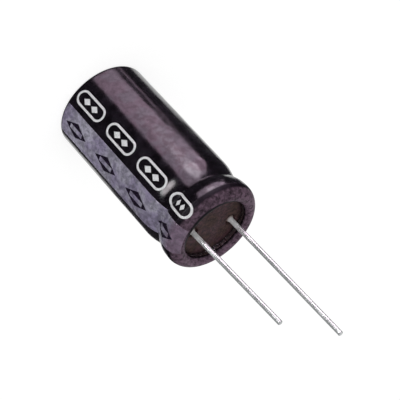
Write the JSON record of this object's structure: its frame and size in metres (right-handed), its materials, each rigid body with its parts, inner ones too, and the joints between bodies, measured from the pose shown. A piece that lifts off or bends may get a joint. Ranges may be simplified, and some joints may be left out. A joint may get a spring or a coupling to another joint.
{
  "type": "electrolytic capacitor",
  "caption": "Aluminium electrolytic capacitor, a sleeved round can with a rubber seal and straight radial wire leads, the long one positive.",
  "frame": {"origin": "centre of the closed end, on the surface it stands on", "axes": "+Z along the can, from the closed end towards the leads; +X towards the short negative lead, 2 degrees from the middle of the polarity stripe"},
  "size_m": [0.0162, 0.016, 0.056],
  "materials": {
    "sleeve_film": "glossy",
    "stripe_ink": "satin",
    "mark_ink": "satin",
    "outline_ink": "satin",
    "can_aluminium": "satin",
    "seal_rubber": "matte",
    "winding_paper": "matte",
    "tape_film": "satin",
    "tab_aluminium": "satin",
    "lead_tin": "satin"
  },
  "bodies": {
    "root": {"can": "can_aluminium", "sleeve": "sleeve_film", "seal": "seal_rubber", "winding": "winding_paper", "winding_tape": "tape_film", "anode_tab": "tab_aluminium", "cathode_tab": "tab_aluminium", "anode_lead": "lead_tin", "cathode_lead": "lead_tin", "polarity_stripe": "stripe_ink", "polarity_marks": "mark_ink", "outline_print": "outline_ink"}
  },
  "joints": []
}
